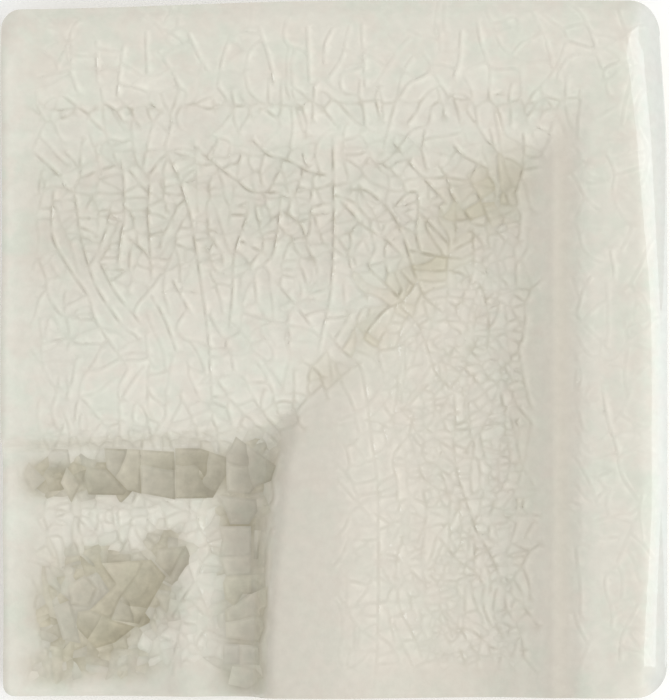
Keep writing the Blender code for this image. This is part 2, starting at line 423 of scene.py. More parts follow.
MARGIN_FADE = 2.4
RIM_CLEAR = 0.5
MITRE_REACH, MITRE_BAND = 3.0, 1.9
MITRE_SPACING, MITRE_FROM = 1.3, 0.12
SHARD_SPACING, POOL_SPACING = 2.6, 0.85
POOL_EDGE, POOL_FULL = 2.4, 0.3
UNEVEN, UNEVEN_SIZE = 0.2, 6.0


def ripple(u, v, wavelength, seed, waves=14):
    """Smooth noise between about -1 and 1: a sum of plane waves that run in all directions, with
    wavelengths near the one given."""
    dice = np.random.default_rng(seed)
    turn = dice.uniform(0, 2 * math.pi, waves)
    number = 2 * math.pi / (wavelength * dice.uniform(0.7, 1.5, waves))
    phase = dice.uniform(0, 2 * math.pi, waves)
    across = np.multiply.outer(np.asarray(u), number * np.cos(turn))
    down = np.multiply.outer(np.asarray(v), number * np.sin(turn))
    return np.sin(across + down + phase).sum(axis=-1) / math.sqrt(waves)


def arm_share(x, y):
    """The top arm's share at a point of the plan: 1 on it, 0 on the right arm, between at the mitre."""
    return smoothstep(from_mitre(x, y) / MITRE_REACH + 0.5)


def by_arm(right_curve, top_curve, line, top_share):
    """A value that follows the line of the moulding by a curve for each arm."""
    return blend(smooth_curve(right_curve, line), smooth_curve(top_curve, line), top_share)


def spots_at(spots, u, v, sharpness):
    """Sum of soft spots: d exp(-a^s), where d is a spot's depth, a the squared distance from its
    middle in half widths, and s the sharpness of its edge."""
    x, y = to_photo(*sheet_to_plan(u, v))
    total = np.zeros_like(x)
    for spot_x, spot_y, half_x, half_y, depth in spots:
        away = ((x - spot_x) / half_x) ** 2 + ((y - spot_y) / half_y) ** 2
        total = total + depth * np.exp(-(away**sharpness))
    return total


def in_shard(x, y):
    """Depth of the pool shard that a point of the plan lies in, or zero. From a point in a shard, a
    ray to the right crosses its sides an odd number of times."""
    x, y = to_photo(x, y)
    depth = np.zeros(np.shape(x))
    for shard_depth, corners in POOL_SHARDS:
        corners = np.reshape(corners, (-1, 2))
        odd = np.zeros(np.shape(x), bool)
        for (x0, y0), (x1, y1) in zip(corners, np.roll(corners, -1, axis=0)):
            if y0 != y1:
                odd ^= ((y0 > y) != (y1 > y)) & (x < (x1 - x0) * (y - y0) / (y1 - y0) + x0)
        depth[odd] = shard_depth
    return depth


def crackle_spacing(u, v):
    """Distance between neighbouring cracks that the glaze aims for at a point of the sheet."""
    x, y = sheet_to_plan(u, v)
    line = moulding_line(x, y)
    spacing = by_arm(RIGHT_ARM_SPACING, TOP_ARM_SPACING, line, arm_share(x, y))
    at_mitre = np.exp(-((from_mitre(x, y) / MITRE_BAND) ** 4))
    at_mitre = at_mitre * smoothstep((line - MITRE_FROM) / 0.08)
    spacing = blend(spacing, MITRE_SPACING, at_mitre)
    spacing = spacing * np.exp(UNEVEN * ripple(u, v, UNEVEN_SIZE, seed=5))
    edge = np.minimum(x - LEFT_MARGIN, HEIGHT - LOWER_MARGIN - y) / MARGIN_FADE
    spacing = blend(spacing, NO_CRACKS, 1 - smoothstep(edge))
    pooled = smoothstep(spots_at(POOLS, u, v, POOL_EDGE) / POOL_FULL)
    spacing = blend(spacing, POOL_SPACING, pooled)
    spacing = np.where(in_shard(x, y) > 0, SHARD_SPACING, spacing)
    by_rim = 1 - smoothstep((np.minimum(x, HEIGHT - y) - RIM_CLEAR) / RIM_CLEAR)
    return blend(spacing, NO_CRACKS, by_rim)


in_cove = crackle_spacing(np.array([20.0]), np.array([22.0]))
print("spacing in the top arm's cove:", np.round(in_cove, 2), "mm")

# %% [markdown]
# ## Growing the net
#
# A Voronoi pattern would give rounded cells that meet in threes. Real crackle grows: a crack runs
# on, wavering a little, until it meets an older one and stops there at a T. So the net is grown the
# same way. All the tips of one round step forward together; a map with a tenth of a millimetre to
# a square remembers which crack passed where, and a tip that meets another crack is joined to it.
# Two rounds of long cracks that lean with their neighbours come first. Each later round starts in
# the middle of what is still too wide and crosses it the short way. At the end the net is drawn a
# little tighter, as a stretched skin would be, so that its corners open out.

# %% The net of cracks
STEP = 0.24
MAP_SQUARE = 0.1
CAPTURE = 2
SPARSE, DYING_SHARE = 4.2, 0.45
SPLINE_POINTS = 24
HAND_STRENGTH, SHARD_STRENGTH = 1.1, 0.8
END_STRENGTH, END_GROWS = 0.35, 8
UPRIGHT, LEAN, LEAN_VARIES, LEAN_SIZE = math.pi / 2, -0.12, 0.3, 18.0
HEADING_VARIES, SQUARING = 0.35, 0.6
LONG_REACH, REACH = 2.6, 1.6
# How many times too wide a gap is, its block of the map, and the longest life of a crack in it
LONG_ROUNDS = ((1.9, 24, 22), (1.7, 16, 14))
FINE_ROUNDS, WIDE_ROUNDS, WIDER = 11, 4, 1.2
rng = np.random.default_rng(41)
map_shape = (int(SHEET_HEIGHT / MAP_SQUARE) + 2, int(SHEET_WIDTH / MAP_SQUARE) + 2)


class Net:
    """Points of the cracks, the links between them, which crack each belongs to and how strong it
    stands, and the map of where they passed."""

    def __init__(self):
        self.points = np.empty((0, 2))
        self.owner = np.empty(0, int)
        self.strength = np.empty(0)
        self.links = np.empty((0, 2), int)
        self.map = np.full(map_shape, -1)
        self.cracks = 0

    def add(self, points, owner, strength):
        """Adds points, and returns their numbers."""
        first = len(self.points)
        self.points = np.vstack([self.points, points])
        self.owner = np.append(self.owner, owner)
        self.strength = np.append(self.strength, strength)
        return np.arange(first, len(self.points))

    def link(self, start, end):
        """Links pairs of points, and marks the straight way between them on the map."""
        self.links = np.vstack([self.links, np.stack([start, end], axis=1)])
        for t in (0, 0.25, 0.5, 0.75, 1):
            at = self.points[start] * (1 - t) + self.points[end] * t
            self.map[squares(at)] = start if t < 0.5 else end


def on_map(row, column):
    """Rows and columns, kept within the map."""
    return np.clip(row, 0, map_shape[0] - 1), np.clip(column, 0, map_shape[1] - 1)


def squares(points):
    """Rows and columns of the map squares that some points lie in."""
    column, row = (points / MAP_SQUARE).astype(int).T
    return on_map(row, column)


def spline_through(points, step):
    """Even steps along a Catmull-Rom curve: each span is a cubic whose slope at a point is half of
    the way from the one before to the one after."""
    padded = np.vstack([2 * points[0] - points[1], points, 2 * points[-1] - points[-2]])
    t = np.linspace(0, 1, SPLINE_POINTS, endpoint=False)[:, None]
    spans = [
        0.5 * (2 * b + (c - a) * t + (2 * a - 5 * b + 4 * c - d) * t**2
               + (3 * b - a - 3 * c + d) * t**3)
        for a, b, c, d in zip(padded, padded[1:], padded[2:], padded[3:])
    ]
    fine = np.vstack(spans + [points[-1:]])
    length = np.append(0, np.cumsum(np.hypot(*np.diff(fine, axis=0).T)))
    stops = np.linspace(0, length[-1], max(2, round(length[-1] / step) + 1))
    return np.stack([np.interp(stops, length, fine[:, i]) for i in (0, 1)], axis=1)


def straight_through(points, step):
    """Even steps along straight runs, for a shard's outline."""
    runs = []
    for start, end in zip(points, points[1:]):
        stops = max(2, round(np.hypot(*(end - start)) / step) + 1)
        runs.append(start + (end - start) * np.linspace(0, 1, stops)[:-1, None])
    return np.vstack(runs + [points[-1:]])


def lay_by_hand(net, route, strength, through):
    """Adds one crack along a route of the photograph, weaker towards its two ends."""
    points = through(from_photo(route), STEP)
    ends = np.linspace(0, 1, len(points))
    fade = np.clip(np.minimum(ends, 1 - ends) * END_GROWS + END_STRENGTH, 0, 1)
    numbers = net.add(points, np.full(len(points), net.cracks), strength * fade)
    net.link(numbers[:-1], numbers[1:])
    net.cracks += 1


def grow(net, seeds, headings, strengths, lives, waver):
    """Grows a crack both ways from each seed. Each round, each live tip turns a little, looks round
    itself on the map, and joins the crack that it meets, stops at the sheet's edge, at its life's
    end or by chance where cracks are sparse, or steps on."""
    count = len(seeds)
    numbers = net.add(seeds, net.cracks + np.arange(count), strengths)
    bend = rng.normal(0, waver / 2, count)
    last, bend, strength, life = (np.tile(both, 2) for both in (numbers, bend, strengths, lives))
    owner = np.tile(net.cracks + np.arange(count), 2)
    angle = np.concatenate([headings, headings + math.pi])
    net.cracks += count
    window = np.arange(-CAPTURE, CAPTURE + 1)
    down, right = (offset.ravel() for offset in np.meshgrid(window, window, indexing="ij"))
    for step in range(int(max(lives))):
        if not len(last):
            break
        angle = angle + bend + rng.normal(0, waver, len(angle))
        ahead = net.points[last] + STEP * np.stack([np.cos(angle), np.sin(angle)], axis=1)
        row, column = squares(ahead)
        seen = net.map[on_map(row[:, None] + down, column[:, None] + right)]
        foreign = (seen >= 0) & (net.owner[seen] != owner[:, None])
        away = np.hypot(*np.moveaxis(net.points[seen] - ahead[:, None], -1, 0))
        away = np.where(foreign, away, np.inf)
        nearest = away.argmin(axis=1)
        meets = np.isfinite(away.min(axis=1))
        met = seen[np.arange(len(last)), nearest]
        if meets.any():
            net.link(last[meets], met[meets])
        inside = ((ahead > 0) & (ahead < SHEET_SIZE)).all(axis=1)
        sparse = crackle_spacing(*ahead.T) > SPARSE
        ends = (sparse & (rng.random(len(last)) < DYING_SHARE)) | (step > life)
        on = inside & ~meets & ~ends
        owner, angle, bend, strength, life = (kept[on] for kept in (owner, angle, bend, strength, life))
        new = net.add(ahead[on], owner, strength)
        net.link(last[on], new)
        last = new


def distances(net, reach):
    """Distance to the nearest crack at each square of the map, up to the reach, passed on from
    square to square."""
    far = np.where(net.map >= 0, 0.0, reach)
    for _ in range(int(reach / MAP_SQUARE)):
        before = far
        for rows, columns, way in ((1, 0, 1.0), (0, 1, 1.0), (1, 1, 1.414), (1, -1, 1.414)):
            for sign in (1, -1):
                moved = np.roll(before, (sign * rows, sign * columns), axis=(0, 1))
                far = np.minimum(far, moved + way * MAP_SQUARE)
    return far


def across_the_gap(far, row, column):
    """Direction in which a gap is narrowest: the one in which the distance curves down the most,
    which is the main axis of its matrix of second differences."""
    smooth = far
    for _ in range(3):
        smooth = (smooth + sum(np.roll(smooth, way, axis) for way in (1, -1) for axis in (0, 1))) / 5

    def pick(rows, columns, reach=3):
        return smooth[on_map(row + rows * reach, column + columns * reach)]

    xx = pick(0, 1) + pick(0, -1) - 2 * pick(0, 0)
    yy = pick(1, 0) + pick(-1, 0) - 2 * pick(0, 0)
    xy = (pick(1, 1) + pick(-1, -1) - pick(1, -1) - pick(-1, 1)) / 4
    return 0.5 * np.arctan2(2 * xy, xx - yy) + math.pi / 2


def widest_places(far, spacing, block, share):
    """The widest place, for the spacing there, in each block of the map: a seeded share of those
    that are wider than they should be."""
    ratio = 2 * far / spacing
    tall, wide = (size // block for size in map_shape)
    tiles = ratio[: tall * block, : wide * block].reshape(tall, block, wide, block)
    tiles = tiles.transpose(0, 2, 1, 3).reshape(tall, wide, -1)
    best = tiles.argmax(axis=-1)
    row = np.arange(tall)[:, None] * block + best // block
    column = np.arange(wide)[None, :] * block + best % block
    keep = (tiles.max(axis=-1) > 1) & (rng.random((tall, wide)) < share)
    return row[keep], column[keep]


def tightened(net, rounds, pull):
    """The points, each drawn part of the way to the middle of its neighbours. Loose ends and the
    cracks laid along the listed routes stay."""
    points = net.points.copy()
    start, end = net.links.T
    count = np.bincount(net.links.ravel(), minlength=len(points))
    moves = (count > 1) & (net.owner >= BY_HAND)
    for _ in range(rounds):
        total = np.zeros_like(points)
        np.add.at(total, start, points[end])
        np.add.at(total, end, points[start])
        middle = total / np.maximum(count, 1)[:, None]
        points[moves] += pull * (middle - points)[moves]
    return points


net = Net()
for route in LONG_CRACKS:
    lay_by_hand(net, route, HAND_STRENGTH, spline_through)
for _, corners in POOL_SHARDS:
    lay_by_hand(net, corners + corners[:2], SHARD_STRENGTH, straight_through)
BY_HAND = net.cracks
print(len(net.points), "points laid by hand")

grid_row, grid_column = np.indices(map_shape)
spacing_map = crackle_spacing(grid_column * MAP_SQUARE, grid_row * MAP_SQUARE)

for too_wide, block, longest in LONG_ROUNDS:
    far = distances(net, LONG_REACH)
    row, column = widest_places(far, spacing_map * too_wide, block, share=0.4)
    seeds = np.stack([column, row], axis=1) * MAP_SQUARE
    lean = LEAN_VARIES * ripple(*seeds.T, LEAN_SIZE, seed=8) + LEAN
    headings = UPRIGHT + lean + rng.normal(0, HEADING_VARIES, len(seeds))
    strengths, lives = rng.uniform(0.4, 1.0, len(seeds)), rng.uniform(4, longest, len(seeds))
    grow(net, seeds, headings, strengths, lives, waver=0.07)

# A finer crack crosses its gap the short way, turned partly to the nearest of upright and level
for attempt in range(FINE_ROUNDS):
    far = distances(net, REACH)
    too_wide = WIDER if attempt < WIDE_ROUNDS else 1
    row, column = widest_places(far, spacing_map * too_wide, 8, share=0.42)
    seeds = np.stack([column, row], axis=1) * MAP_SQUARE
    headings = across_the_gap(far, row, column)
    squared = UPRIGHT * np.round((headings - LEAN) / UPRIGHT) + LEAN
    headings = headings + SQUARING * (squared - headings)
    headings = headings + rng.normal(0, HEADING_VARIES, len(seeds))
    strengths, lives = 0.2 + 0.75 * rng.random(len(seeds)) ** 1.6, rng.uniform(3, 16, len(seeds))
    grow(net, seeds, headings, strengths, lives, waver=0.12)
net.points = tightened(net, rounds=4, pull=0.5)
print(net.cracks, "cracks,", len(net.points), "points,", len(net.links), "links")

# %% [markdown]
# ## The glazed face
#
# A grid of squares can't follow a crack without steps in it, and a fine enough one would be huge.
# So the net itself becomes edges of the mesh: a constrained Delaunay triangulation joins the
# cracks' points, two rows of points on each side of every crack, and loose points in the cells
# between. Each crack then stands up as a thin raised line between flat cells, the way that crackle
# with lifted edges does.

# %% Points of the face
FLANKS = (0.13, 0.27)
FLANK_CLEAR, NEAR_REACH = 0.7, 1.2
FILL, KEEP_OFF = 0.46, 0.41
FILL_SHIFT, FILL_STRENGTH = 0.12, 0.6
RIM_STEP, RIM_MARGIN = 0.42, 0.12
NO_CRACK_NEAR = 9.0


def flank_points(net, offset):
    """A point on each side of every crack point that has a way in and a way out, and the number of
    the crack point that it belongs to."""
    ends = np.concatenate([net.links, net.links[:, ::-1]])
    order = np.argsort(ends[:, 0], kind="stable")
    ends = ends[order]
    count = np.bincount(ends[:, 0], minlength=len(net.points))
    first = np.concatenate([[0], np.cumsum(count)[:-1]])
    middle = np.flatnonzero(count == 2)
    one, other = ends[first[middle], 1], ends[first[middle] + 1, 1]
    along = net.points[one] - net.points[other]
    length = np.hypot(*along.T)
    good = length > 0.5 * STEP
    along = along[good] / length[good][:, None]
    side = np.stack([-along[:, 1], along[:, 0]], axis=1) * offset
    here = net.points[middle[good]]
    return np.concatenate([here + side, here - side]), np.tile(middle[good], 2)


def rim_points():
    """Points round the sheet's edge, in their order from its upper left corner."""
    across = np.linspace(0, SHEET_WIDTH, round(SHEET_WIDTH / RIM_STEP) + 1)[:-1]
    down = np.linspace(0, SHEET_HEIGHT, round(SHEET_HEIGHT / RIM_STEP) + 1)[:-1]
    top = np.stack([across, np.zeros_like(across)], axis=1)
    left = np.stack([np.zeros_like(down), down], axis=1)
    right = left + [SHEET_WIDTH, 0]
    return np.concatenate([top, right, SHEET_SIZE - top, SHEET_SIZE - right])


def fill_points():
    """Points in staggered rows, each moved a little so that no row shows in the gloss."""
    rows = np.arange(FILL * 0.5, SHEET_HEIGHT - FILL * 0.3, FILL * math.sqrt(0.75))
    columns = np.arange(FILL * 0.5, SHEET_WIDTH - FILL * 0.3, FILL)
    v, u = np.meshgrid(rows, columns, indexing="ij")
    u = u + (np.arange(len(rows)) % 2)[:, None] * FILL / 2
    points = np.stack([u.ravel(), v.ravel()], axis=1)
    points = points + rng.uniform(-FILL_SHIFT, FILL_SHIFT, points.shape) * FILL
    return points[points[:, 0] < SHEET_WIDTH - FILL * 0.3]


def clear_of_rim(points):
    return (np.minimum(points, SHEET_SIZE - points) > RIM_MARGIN).all(axis=1)


far = distances(net, NEAR_REACH)
rim = rim_points()
net_points = np.clip(net.points, RIM_MARGIN, SHEET_SIZE - RIM_MARGIN)
layers = [
    (net_points, np.zeros(len(net_points)), net.strength),
    (rim, np.full(len(rim), NO_CRACK_NEAR), np.zeros(len(rim))),
]
for offset in FLANKS:
    points, crack_point = flank_points(net, offset)
    keep = clear_of_rim(points) & (far[squares(points)] > FLANK_CLEAR * offset)
    layers.append((points[keep], np.full(keep.sum(), offset), net.strength[crack_point[keep]]))
points = fill_points()
near_crack = far[squares(points)]
keep = clear_of_rim(points) & (near_crack > KEEP_OFF)
layers.append((points[keep], near_crack[keep], np.full(keep.sum(), FILL_STRENGTH)))
sheet_points, near_of, strength_of = (np.concatenate(column) for column in zip(*layers))
rim_numbers = len(net.points) + np.arange(len(rim))
fixed_links = np.vstack([net.links, np.stack([rim_numbers, np.roll(rim_numbers, -1)], axis=1)])
print([len(layer[0]) for layer in layers], "crack, rim, flank, flank and fill points")

# %% Triangulating them
# The sheet is read downwards, so the corners are turned round for the triangles to face out.
result = delaunay_2d_cdt(sheet_points.tolist(), fixed_links.tolist(), [], 0, 1e-4)
sheet = np.array([tuple(point) for point in result[0]])
triangles = np.array([face[::-1] for face in result[2] if len(face) == 3])
all_links = np.array(result[1])
is_crack = np.array([any(origin < len(net.links) for origin in origins) for origins in result[4]])
origin_of = np.array([origins[0] if origins else -1 for origins in result[3]])
print(len(sheet), "points and", len(triangles), "triangles on the sheet")

# %% [markdown]
# ## Cells of the glaze
#
# Each patch of glaze between cracks is its own little window: it sits at its own slight tilt, and
# where the glaze is thick it has its own depth of colour. A cell is what is left of the mesh when
# the cracks' edges are cut, so the triangles are sorted into cells by passing the lowest number
# across every edge that isn't a crack.

# %% Sorting triangles into cells
def pair_keys(pairs):
    """One number for each unordered pair of points."""
    return pairs.min(axis=1) * len(sheet) + pairs.max(axis=1)


def cells_of(triangles, crack_keys):
    """Cell number of each triangle: lowest numbers spread over shared edges, with long jumps to
    the number's own number, until nothing changes."""
    sides = np.concatenate([triangles[:, [0, 1]], triangles[:, [1, 2]], triangles[:, [2, 0]]])
    keys = pair_keys(sides)
    order = np.argsort(keys, kind="stable")
    face = np.tile(np.arange(len(triangles)), 3)[order]
    keys = keys[order]
    shared = (keys[1:] == keys[:-1]) & ~np.isin(keys[1:], crack_keys)
    one, other = face[:-1][shared], face[1:][shared]
    cell = np.arange(len(triangles))
    while True:
        lowest = np.minimum(cell[one], cell[other])
        new = cell.copy()
        np.minimum.at(new, cell[one], lowest)
        np.minimum.at(new, cell[other], lowest)
        new = new[new]
        new = new[new]
        if (new == cell).all():
            return np.unique(cell, return_inverse=True)[1]
        cell = new


def cell_mean(values):
    """Mean by area over each cell of a value that each triangle has."""
    return np.bincount(cell, area * values) / cell_area


cell = cells_of(triangles, pair_keys(all_links[is_crack]))
corners = sheet[triangles]
side_a, side_b = corners[:, 1] - corners[:, 0], corners[:, 2] - corners[:, 0]
area = np.abs(side_a[:, 0] * side_b[:, 1] - side_a[:, 1] * side_b[:, 0]) / 2
cell_area = np.bincount(cell, area)
cell_middle = np.stack([cell_mean(places) for places in corners.mean(axis=1).T], axis=1)
cells = len(cell_area)
print(cells, "cells, of", np.round(np.percentile(np.sqrt(cell_area), [5, 50, 95]), 2), "mm")

# %% [markdown]
# ## Where the glaze is thick
#
# Molten glaze runs off the crests and gathers in the hollows. It is thickest in the groove and in
# the inner hollow, and there it turns from milky white to olive grey. Along the mitre and in lines
# down the right arm it is stained like tea. A small cell takes most of its depth from its own
# average, so that a pool's edge follows the cracks as it does in the photograph.

# %% Depth, warmth with painted shade, and stains of the glaze
# Middle x and y, half width, half height, depth
STAINS = (
    (510, 178, 26, 32, 0.42), (484, 196, 38, 34, 0.36), (455, 226, 32, 28, 0.34),
    (430, 262, 28, 18, 0.50), (28, 622, 22, 66, 0.22), (527, 420, 14, 260, 0.24),
    (405, 293, 26, 22, 0.45), (366, 334, 26, 20, 0.45), (325, 372, 26, 18, 0.35),
    (560, 400, 8, 290, 0.20),
)
# The warmth curves are partly the glaze's own sand colour and partly painted shade: more sand in the
# quirks, and on the right arm's crest and the flank of it that faces the lamps.
TOP_ARM_WARMTH_AND_SHADE = (
    (0.0, 0.2), (0.12, 0.2), (0.15, 0.25), (0.18, 0.17), (0.23, 0.3), (0.36, 0.4), (0.44, 0.2),
    (0.57, 0.2), (0.62, 0.3), (1.0, 0.1),
)
RIGHT_ARM_WARMTH_AND_SHADE = (
    (0.0, 0.0), (0.035, 0.0), (0.05, 0.25), (0.12, 0.2), (0.137, 0.15), (0.15, 0.35), (0.17, 0.75),
    (0.19, 0.65), (0.215, 0.3), (0.27, 0.42), (0.36, 0.58), (0.43, 0.6), (0.50, 0.6), (0.57, 0.6),
    (0.62, 0.3), (0.76, 0.15), (1.0, 0.1),
)
COVE_DEPTH = (
    (0.0, 0.0), (0.14, 0.03), (0.2, 0.03), (0.27, 0.08), (0.33, 0.07), (0.42, 0.02), (0.5, 0.0),
    (0.6, 0.06), (0.66, 0.18), (0.72, 0.1), (0.8, 0.12), (1.0, 0.0),
)
DEEPEST_POOL, DEEPEST_CELL, STAIN_EDGE = 0.7, 0.75, 1.2
END_CLEAN = 4.0
SHARD_SLANT, SHARD_STEEP = 1.25 * math.pi, 1.1
MILKY_CHANCE, MILKY_AREA, MILKY_DEPTH, MILKY_SHARE = 0.35, 3, 0.4, 0.25
CELL_VARIES, SHARD_VARIES, STAIN_VARIES = 0.5, 0.15, 0.8
OWN_DEPTH, OWN_AREA, OWN_STAIN = 0.85, 4, 0.45
LEAN_THINS_AND_SHADES = 0.2
MARGIN_AREA = 60
PLAIN_CONTRAST, POOL_CONTRAST = 0.3, 1.2


def along_slant(points, cells):
    """How far points lie from the middles of their cells, in the direction of each cell's slant."""
    way = np.stack([np.cos(slant), np.sin(slant)], axis=-1)
    return ((points - cell_middle[cells]) * way[cells]).sum(axis=-1)


plan_x, plan_y = sheet_to_plan(*sheet.T)
line = moulding_line(plan_x, plan_y)
top_share = arm_share(plan_x, plan_y)
inward = smoothstep(plan_x / END_CLEAN)
warmth_and_shade = by_arm(RIGHT_ARM_WARMTH_AND_SHADE, TOP_ARM_WARMTH_AND_SHADE, line, top_share) * inward
pooled = np.minimum(spots_at(POOLS, *sheet.T, POOL_EDGE), DEEPEST_POOL)
depth = (smooth_curve(COVE_DEPTH, line) + pooled) * inward
stain = spots_at(STAINS, *sheet.T, STAIN_EDGE)

shard = in_shard(*sheet_to_plan(*cell_middle.T))
is_shard = shard > 0
chance = rng.uniform(-1, 1, cells)
# All shards slant the same way, so their lean paints each one lighter at the upper left and darker at
# the lower right, a painted shade as of a lit facet. Other cells slant at random.
shard_slant = SHARD_SLANT + rng.normal(0, 0.5, cells)
slant = np.where(is_shard, shard_slant, rng.uniform(0, 2 * math.pi, cells))
steep = np.where(is_shard, SHARD_STEEP, rng.uniform(0.4, 1, cells)) / np.sqrt(cell_area)
of_cell = cell[:, None]
lean = np.clip(along_slant(corners, of_cell) * steep[of_cell], -1, 1)

cell_depth = cell_mean(depth[triangles].mean(axis=1))
milky = (chance > MILKY_CHANCE) & (cell_area < MILKY_AREA) & (cell_depth < MILKY_DEPTH)
varied = cell_depth * np.where(milky, MILKY_SHARE, 1 + CELL_VARIES * chance)
varied = np.minimum(varied, DEEPEST_CELL)
cell_depth = np.where(is_shard, shard * (1 + SHARD_VARIES * chance), varied)
own = np.where(is_shard, 1, OWN_DEPTH * np.exp(-cell_area / OWN_AREA))[of_cell]
corner_depth = (1 - own) * depth[triangles] + own * cell_depth[of_cell]
# Less olive on a cell's leaning side; on the shards this is part of their painted shade.
corner_depth = np.clip(corner_depth * (1 - LEAN_THINS_AND_SHADES * lean), 0, 1.2)
cell_stain = cell_mean(stain[triangles].mean(axis=1)) * (1 + STAIN_VARIES * chance)
corner_stain = (1 - OWN_STAIN) * stain[triangles] + OWN_STAIN * cell_stain[of_cell]
pool_share = np.clip(cell_depth * 2, 0, 1)
contrast = np.where(cell_area > MARGIN_AREA, 0, PLAIN_CONTRAST + POOL_CONTRAST * pool_share)
# Tone is each cell's random lightness, plus the shards' painted shade along their slant.
tone_and_shade = (lean + chance[of_cell]) / 2 * contrast[of_cell]
print("depth of the cells up to", round(cell_depth.max(), 2))

# %% [markdown]
# ## Relief
#
# A crack's edges are lifted by a few hundredths of a millimetre, and by up to two tenths along the
# strongest ones, which is what a glossy surface needs to show a bright flank towards the light and
# a dull one away from it. Each cell leans a little as well, and the whole face has the slow
# waviness of a piece pressed by hand. By the right side and along the right arm's quirk the glaze
# has run smooth, so the relief is calmed there.

# %% Lifting the cracks
RIDGE, RIDGE_WIDTH = 0.125, 0.15
INK_WIDTH, HIGHLIGHT_AT, HIGHLIGHT_WIDTH = 0.14, 0.3, 0.1
CELL_LEAN, MOST_LEAN, LEANING_SIZE = 0.03, 0.03, 6
WAVINESS, WAVE_SIZE = 0.04, 13.0
DASH_SIZE, DASH_MEAN, DASH_DEPTH = 1.7, 0.85, 0.4
END_STARTS, END_RUN = 0.3, 5
RIM_RUN = 1.5
MITRE_DARK = 1.6
# Lines at which the mitre's dark part, and the quirk, start and end, each with its run
MITRE_PART, QUIRK_PART = (0.28, 0.08, 0.56, 0.05), (0.10, 0.03, 0.18, 0.04)
CALM_SIDE, CALM_FADE = 3.4, 1.7
QUIRK_CALM = 0.6
TOP_ARM_RIDGE = (
    (0.0, 0.2), (0.03, 0.4), (0.06, 0.62), (0.14, 0.75), (0.2, 0.95), (0.3, 1.05), (0.4, 0.85),
    (0.5, 0.7), (0.58, 0.8), (0.66, 0.6), (0.72, 0.7), (0.86, 0.6), (1.0, 0.5),
)
RIGHT_ARM_RIDGE = (
    (0.0, 0.2), (0.05, 0.5), (0.12, 0.55), (0.16, 0.4), (0.24, 0.7), (0.32, 0.7), (0.37, 0.25),
    (0.46, 0.2), (0.54, 0.5), (0.66, 0.6), (0.72, 0.7), (1.0, 0.5),
)
INK_BY_LINE = (
    (0.0, 0.1), (0.12, 0.25), (0.15, 1.1), (0.18, 0.5), (0.22, 0.9), (0.3, 1.1), (0.4, 0.65),
    (0.5, 0.4), (0.58, 0.6), (0.66, 0.7), (0.8, 0.8), (1.0, 0.7),
)


def between(line, start, start_run, end, end_run):
    """1 between two lines of the moulding, falling to 0 outside them."""
    return smoothstep((line - start) / start_run) * (1 - smoothstep((line - end) / end_run))


known = origin_of >= 0
near = np.where(known, near_of[origin_of], 0)
strength = np.where(known, strength_of[origin_of], 0.8)
dashes = np.clip(DASH_MEAN + DASH_DEPTH * ripple(*sheet.T, DASH_SIZE, seed=17), 0.15, 1.4)
to_end = np.minimum(plan_x - LEFT_MARGIN, HEIGHT - LOWER_MARGIN - plan_y)
strength = strength * dashes * (END_STARTS + (1 - END_STARTS) * smoothstep(to_end / END_RUN))
at_mitre = np.exp(-((from_mitre(plan_x, plan_y) / MITRE_BAND) ** 2))
at_mitre = at_mitre * between(line, *MITRE_PART)
quiet = 1 - QUIRK_CALM * (1 - top_share) * between(line, *QUIRK_PART)
ink = smooth_curve(INK_BY_LINE, line) * (0.85 + 0.15 * top_share) * (1 + MITRE_DARK * at_mitre)
crack_line = strength * np.exp(-((near / INK_WIDTH) ** 2)) * ink * (1 + 0.4 * stain) * quiet
# Painted highlight: a pale ring in the colour on each side of a crack, where its lifted edges catch the
# light.
crack_highlight = strength * np.exp(-(((near - HIGHLIGHT_AT) / HIGHLIGHT_WIDTH) ** 2))
ridge = RIDGE * strength * np.exp(-((near / RIDGE_WIDTH) ** 2))
ridge = ridge * by_arm(RIGHT_ARM_RIDGE, TOP_ARM_RIDGE, line, top_share)

vertex_cell = np.zeros(len(sheet), int)
vertex_cell[triangles.ravel()] = np.repeat(cell, 3)
leans = np.sqrt(cell_area)[vertex_cell] < LEANING_SIZE
tilt = np.clip(CELL_LEAN * along_slant(sheet, vertex_cell), -MOST_LEAN, MOST_LEAN)
tilt = tilt * leans * smoothstep((near - 0.05) / 0.3)
relief = ridge + tilt + WAVINESS * ripple(*sheet.T, WAVE_SIZE, seed=3)
calm = smoothstep((WIDTH - plan_x - CALM_SIDE) / CALM_FADE)
from_rim = np.minimum(sheet, SHEET_SIZE - sheet).min(axis=1)
relief = (relief * calm * quiet - relief.max()) * smoothstep(from_rim / RIM_RUN)
face = tile_point(*sheet.T) + outward(*sheet.T) * relief[:, None]
print("relief from", np.round(relief.min(), 3), "to", np.round(relief.max(), 3), "mm")

# %% [markdown]
# ## Sides and back
#
# The glaze runs over the edge and down the sides, and stops in a thick wavering line just above
# the back, where the glazer wiped it off. Below that line, and on the back, the fired clay shows.
# So the face's rim is repeated down the wall, row by row, round the thick end of the glaze and the
# chamfer of the foot, and the back closes the last row.

# %% The wall, the glaze line and the back
FOOT_CHAMFER = 0.5
GLAZE_LINE, GLAZE_WAVER, GLAZE_THICK = 1.9, 0.35, 0.22
LINE_TOP, WAVER_PEAK = 0.35, 2.2
WAVER_WAVES = ((5, 0.4), (9, 2.1), (17, 4.0), (31, 1.0))
WALL_ROWS, FADE_ROWS = 9, 7
LINE_ROWS = ((0.12, 0.01), (-0.02, 0.07), (-0.08, GLAZE_THICK))
GLAZED_ROWS = WALL_ROWS + 2

